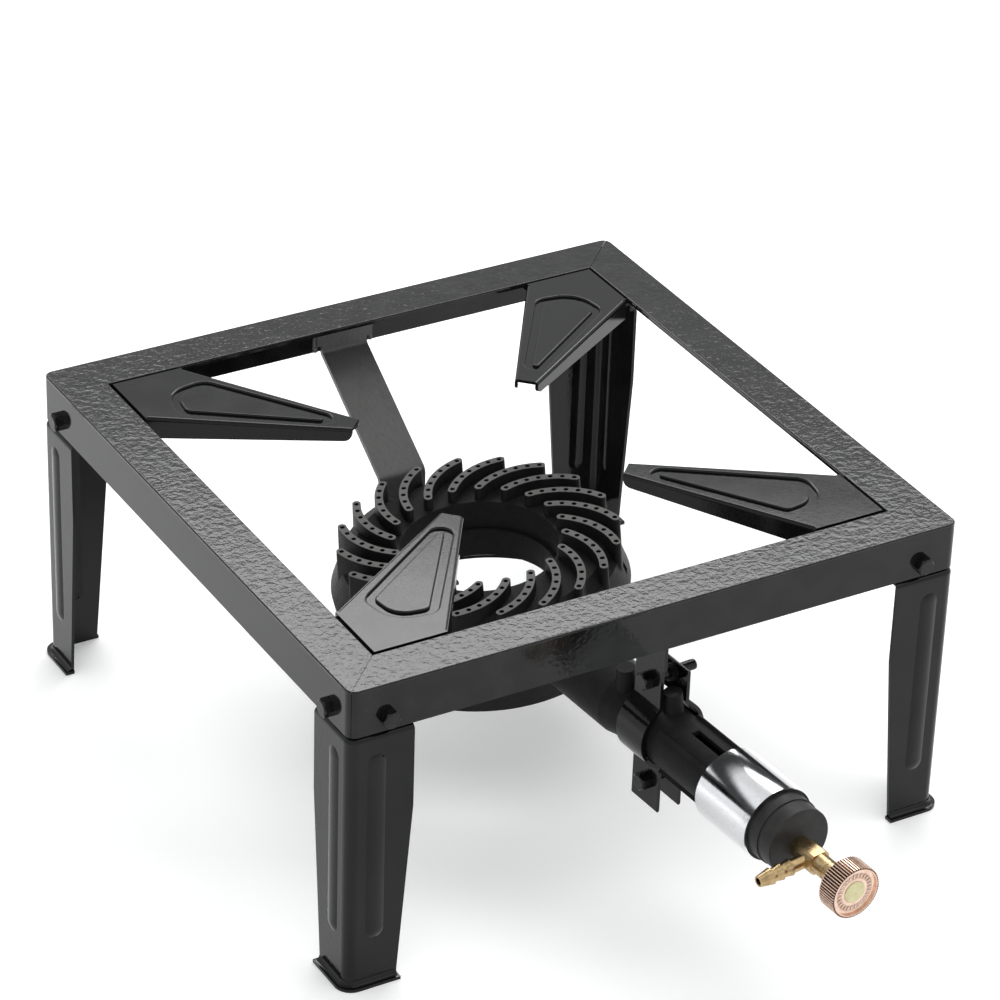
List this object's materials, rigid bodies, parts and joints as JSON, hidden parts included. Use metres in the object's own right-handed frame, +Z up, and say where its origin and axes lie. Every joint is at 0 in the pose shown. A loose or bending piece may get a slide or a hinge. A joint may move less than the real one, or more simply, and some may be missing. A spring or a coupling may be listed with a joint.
{
  "type": "stock pot range",
  "caption": "Low square gas stand with a ring burner, mixing pipe, air sleeve, needle valve and four arms that carry a stock pot.",
  "frame": {"origin": "middle of the square stand, on the floor under the four feet", "axes": "+Z up, +X right along the front rail, +Y to the back; the mixing pipe and valve stick out towards -Y"},
  "size_m": [0.411, 0.5725, 0.2],
  "materials": {
    "frame": "black baked paint, lightly textured on top",
    "leg": "gloss black baked paint",
    "support": "satin black baked paint",
    "strap": "satin dark grey",
    "fastener": "black",
    "casting": "sand cast, rib tops ground",
    "sleeve": "bright zinc plate",
    "cap": "matte black",
    "brass": "machined",
    "seal": "matte",
    "knob": "copper coloured, fine toothed",
    "disc": "yellow brass"
  },
  "bodies": {
    "stand": {"frame_rail_front": "frame", "frame_rail_right": "frame", "frame_rail_back": "frame", "frame_rail_left": "frame", "leg_front": "leg", "leg_right": "leg", "leg_back": "leg", "leg_left": "leg", "pot_support_front": "support", "pot_support_right": "support", "pot_support_back": "support", "pot_support_left": "support", "leg_bolts": "fastener", "leg_nuts": "fastener", "rear_strap": "strap", "strap_screw": "fastener", "burner_casting": "casting", "end_cap": "cap", "valve_body": "brass", "jet_nozzle": "brass", "gland_nut": "brass", "spindle_seal": "seal", "clamp_left_half": "strap", "clamp_right_half": "strap", "clamp_upper_bolt": "fastener", "clamp_upper_nut": "fastener", "clamp_lower_bolt": "fastener", "clamp_lower_nut": "fastener"},
    "sleeve": {"air_sleeve": "sleeve"},
    "spindle": {"valve_spindle": "brass"},
    "knob": {"valve_knob": "knob", "knob_disc": "disc"}
  },
  "joints": [
    {"name": "sleeve_slide", "type": "slide", "parent": "stand", "child": "sleeve", "axis": [-0.0698, 0.9976, 0], "range_m": [0, 0.03]},
    {"name": "spindle_travel", "type": "slide", "parent": "stand", "child": "spindle", "axis": [0.0698, -0.9976, 0], "range_m": [0, 0.0015]},
    {"name": "knob_turn", "type": "hinge", "parent": "spindle", "child": "knob", "pos_m": [0.02605, -0.35808, 0.09951], "axis": [0.0698, -0.9976, 0], "range_deg": [0, 540]}
  ],
  "couplings": [
    {"joint": "spindle_travel", "follows": "knob_turn", "m_per_rad": 0.000159}
  ]
}
